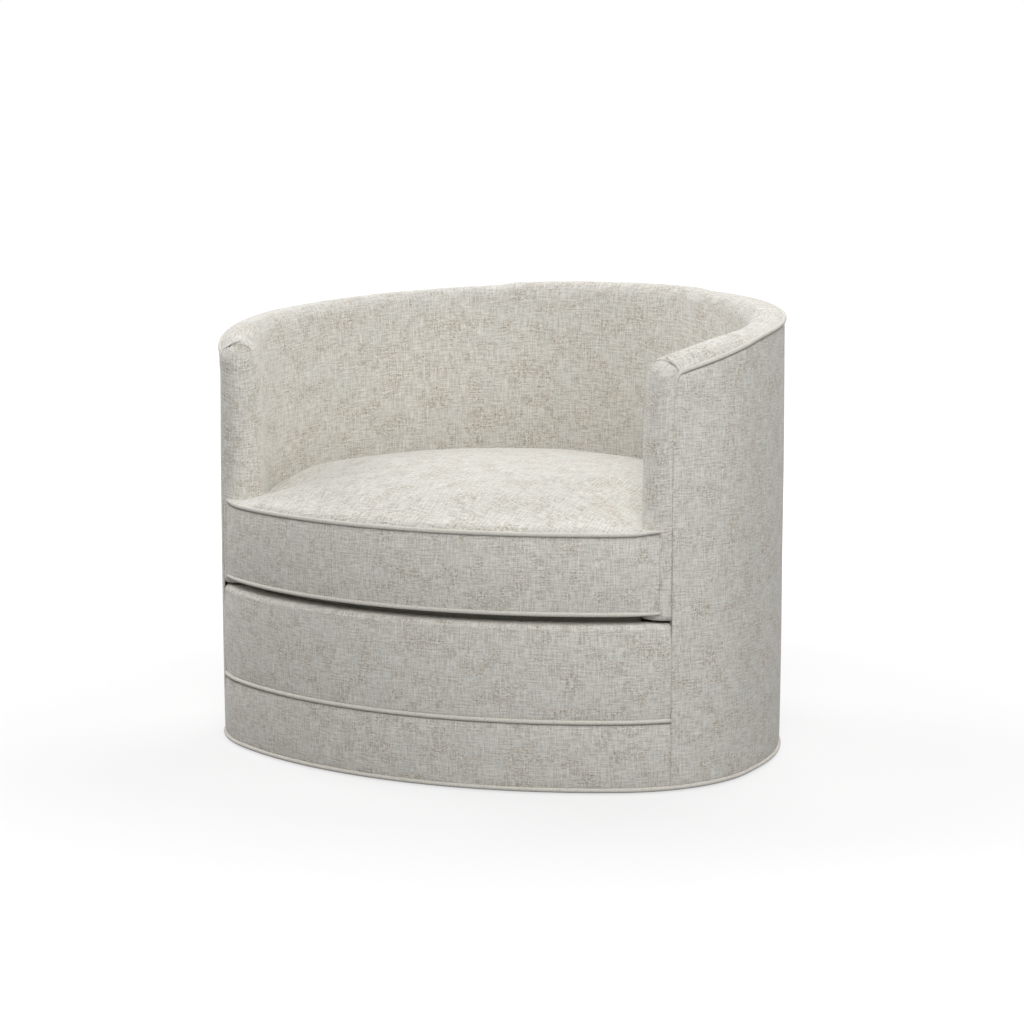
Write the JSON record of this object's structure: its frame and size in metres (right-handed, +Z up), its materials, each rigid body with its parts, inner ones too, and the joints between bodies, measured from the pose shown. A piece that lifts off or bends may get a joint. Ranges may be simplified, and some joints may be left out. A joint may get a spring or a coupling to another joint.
{
  "type": "upholstered swivel armchair",
  "caption": "Upholstered swivel barrel armchair in oatmeal linen weave: curved arms and back in one sweep, loose crowned seat cushion, welted edges and a skirted base.",
  "frame": {"origin": "on the floor, on the swivel axis, which is the middle of the chair's plan", "axes": "+Z up along the swivel axis, -Y towards the front of the seat, +X to the sitter's left"},
  "size_m": [0.919, 0.797, 0.7213],
  "materials": {
    "linen": "matt linen-look weave, oatmeal with grey and tan slubs",
    "linen_welt": "the same weave, cut on the bias over cord",
    "deck_cloth": "matt plain cloth",
    "dust_cloth": "black spun-bonded cloth",
    "wadding": "white fibre wadding",
    "felt": "grey needled felt",
    "foam": "cut cream foam",
    "fibreboard": "thin bent fibreboard",
    "plywood": "bare plywood",
    "hardwood": "planed hardwood, no lacquer",
    "zinc_steel": "zinc plated",
    "bright_steel": "polished balls",
    "spring_steel": "oiled spring wire",
    "black_steel": "black painted pressings",
    "nylon": "matt nylon",
    "zip_tape": "woven zip tape with fine teeth",
    "zip_metal": "satin cast metal"
  },
  "bodies": {
    "base": {"floor_glides": "nylon", "base_screws": "zinc_steel", "base_ring": "plywood", "base_bar_lower": "hardwood", "base_bar_upper": "hardwood", "lower_plate_screws": "zinc_steel", "lower_swivel_plate": "black_steel", "swivel_rivet": "zinc_steel"},
    "ball_ring": {"ball_cage": "black_steel", "race_balls": "bright_steel"},
    "chair": {"upper_swivel_plate": "black_steel", "upper_plate_bolts": "zinc_steel", "swivel_bush": "nylon", "platform_board": "plywood", "plinth_ring": "plywood", "plinth_blocks": "hardwood", "dust_cover": "dust_cloth", "post_screws": "zinc_steel", "rail_screws": "zinc_steel", "front_seat_rail": "hardwood", "side_seat_rail_right": "hardwood", "side_seat_rail_left": "hardwood", "back_seat_rail": "hardwood", "top_rail": "hardwood", "arm_front_post_right": "hardwood", "arm_front_post_left": "hardwood", "side_post_right": "hardwood", "side_post_left": "hardwood", "back_post_right": "hardwood", "back_post_left": "hardwood", "back_post_centre": "hardwood", "seat_springs": "spring_steel", "spring_clips": "zinc_steel", "tie_wires": "spring_steel", "spring_felt": "felt", "deck_foam": "foam", "deck_cover": "deck_cloth", "inside_backing": "fibreboard", "inside_foam": "foam", "inside_cover": "linen", "outside_backing": "fibreboard", "outside_wadding": "wadding", "outside_cover": "linen", "front_backing": "fibreboard", "front_wadding": "wadding", "front_cover": "linen", "band_wadding": "wadding", "band_cover": "linen", "rim_welt": "linen_welt", "band_welt": "linen_welt", "hem_welt": "linen_welt"},
    "cushion": {"cushion_core": "foam", "cushion_top_panel": "linen", "cushion_bottom_panel": "linen", "cushion_front_boxing": "linen", "cushion_rear_boxing": "linen", "cushion_top_welt": "linen_welt", "cushion_bottom_welt": "linen_welt", "cushion_zip": "zip_tape"},
    "zip_slider": {"zip_slider": "zip_metal"}
  },
  "joints": [
    {"name": "swivel", "type": "hinge", "parent": "base", "child": "chair", "pos_m": [0, 0, 0], "axis": [0, 0, 1], "continuous": true},
    {"name": "race_spin", "type": "hinge", "parent": "base", "child": "ball_ring", "pos_m": [0, 0, 0], "axis": [0, 0, 1], "continuous": true},
    {"name": "cushion_lift", "type": "slide", "parent": "chair", "child": "cushion", "axis": [0, 0, 1], "range_m": [0, 0.47]},
    {"name": "zip_slide", "type": "hinge", "parent": "cushion", "child": "zip_slider", "pos_m": [0, -0.061, 0], "axis": [0, 0, 1], "range_deg": [0, 95.5]}
  ],
  "couplings": [
    {"joint": "race_spin", "follows": "swivel", "ratio": 0.5}
  ]
}
